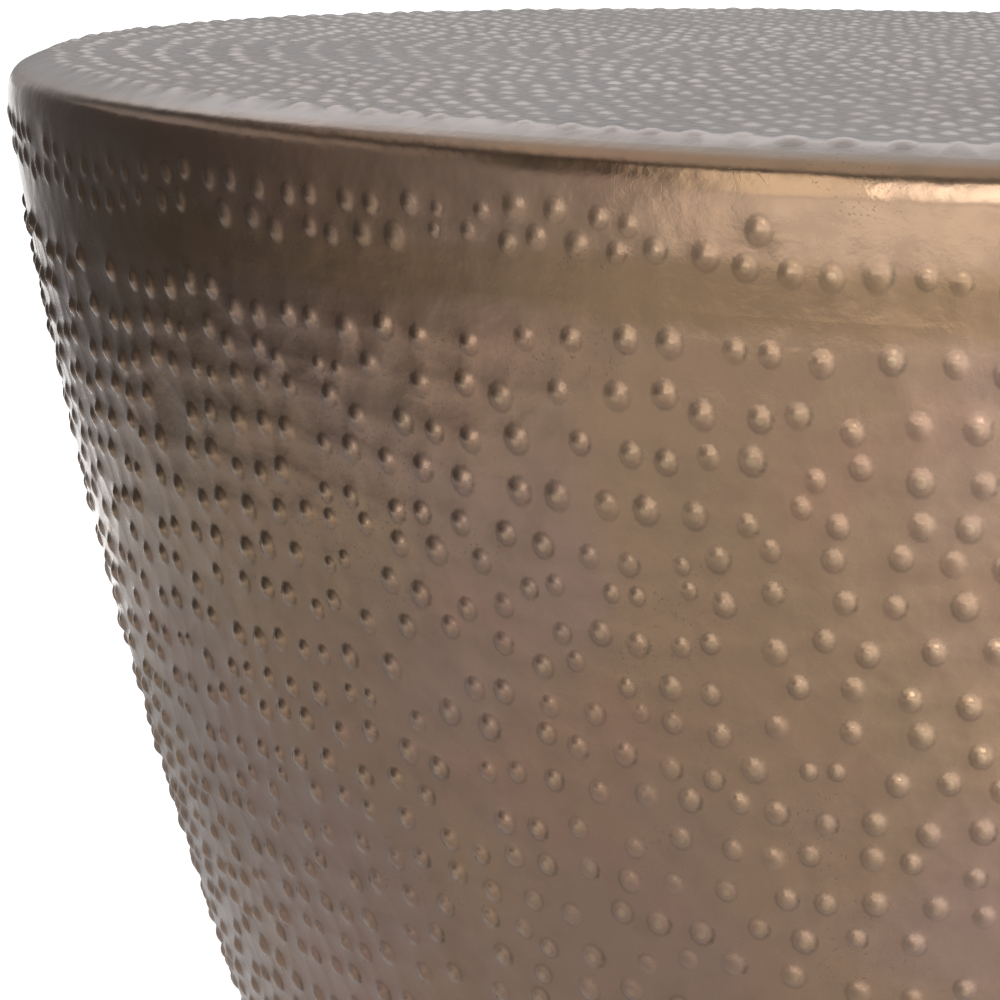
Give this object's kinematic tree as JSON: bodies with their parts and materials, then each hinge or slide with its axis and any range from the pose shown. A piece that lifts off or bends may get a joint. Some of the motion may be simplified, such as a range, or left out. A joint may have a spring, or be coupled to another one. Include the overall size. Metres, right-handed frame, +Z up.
{
  "type": "coffee table",
  "caption": "Round drum coffee table with a tapered, gently bowed hammered metal wall, a smooth rolled rim and a hammered top, on a hidden steel frame with rubber feet.",
  "frame": {"origin": "on the floor, under the middle of the round top", "axes": "+Z up along the axis of the drum, +X to the right, -Y towards the viewer; the two upright seams of the wall lie on +X and -X"},
  "size_m": [0.76, 0.76, 0.43],
  "materials": {
    "hammered_brass": "hand-hammered sheet, satin antique brass with a brown wash and rubbed high spots",
    "plywood": "bare birch plywood",
    "frame_paint": "black satin paint on mild steel",
    "rubber": "matt moulded rubber",
    "zinc": "zinc-plated steel"
  },
  "bodies": {
    "root": {"top_pan": "hammered_brass", "wall_front": "hammered_brass", "wall_back": "hammered_brass", "seam_strap_left": "hammered_brass", "seam_strap_right": "hammered_brass", "top_board": "plywood", "upper_ring": "frame_paint", "base_ring": "frame_paint", "cross_bar_left_right": "frame_paint", "cross_bar_front_back": "frame_paint", "strut_front_left": "frame_paint", "strut_front_right": "frame_paint", "strut_back_left": "frame_paint", "strut_back_right": "frame_paint", "foot_front": "rubber", "foot_back": "rubber", "foot_left": "rubber", "foot_right": "rubber", "foot_screws": "zinc", "foot_washers": "zinc", "foot_nuts": "zinc", "board_screws": "zinc"}
  },
  "joints": []
}
